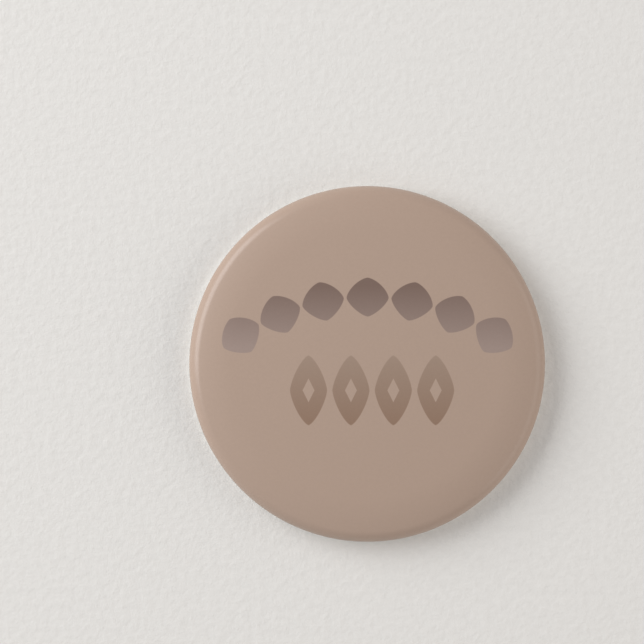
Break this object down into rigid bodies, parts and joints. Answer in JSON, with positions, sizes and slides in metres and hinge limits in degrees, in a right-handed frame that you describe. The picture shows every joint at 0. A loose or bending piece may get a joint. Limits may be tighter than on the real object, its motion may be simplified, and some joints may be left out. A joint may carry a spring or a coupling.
{
  "type": "button badge",
  "caption": "Round pin-back button badge: domed printed face under clear film, dished tinplate back, spring-wire pin held by a hairpin catch.",
  "frame": {"origin": "middle of the badge, on the plane its back rim rests on", "axes": "+Z out of the printed face, +X along the pin from its spring loop to its catch, +Y towards the side of the badge where the pin sits"},
  "size_m": [0.0572, 0.0572, 0.0059],
  "materials": {
    "film": "soft gloss clear film over a beige print",
    "paper": "printed beige, white on the wrapped margin",
    "shell_tinplate": "pressed tinplate",
    "back_tinplate": "bright rolled tinplate",
    "spring_wire": "nickel-plated spring wire"
  },
  "bodies": {
    "badge": {"film_cover": "film", "printed_paper": "paper", "front_shell": "shell_tinplate", "back_shell": "back_tinplate", "catch_wire": "spring_wire"},
    "pin": {"pin": "spring_wire"}
  },
  "joints": [
    {"name": "pin_open", "type": "hinge", "parent": "badge", "child": "pin", "pos_m": [-0.0144, 0.00798, 0.0021], "axis": [0.866, 0, -0.5], "range_deg": [0, 110]}
  ]
}
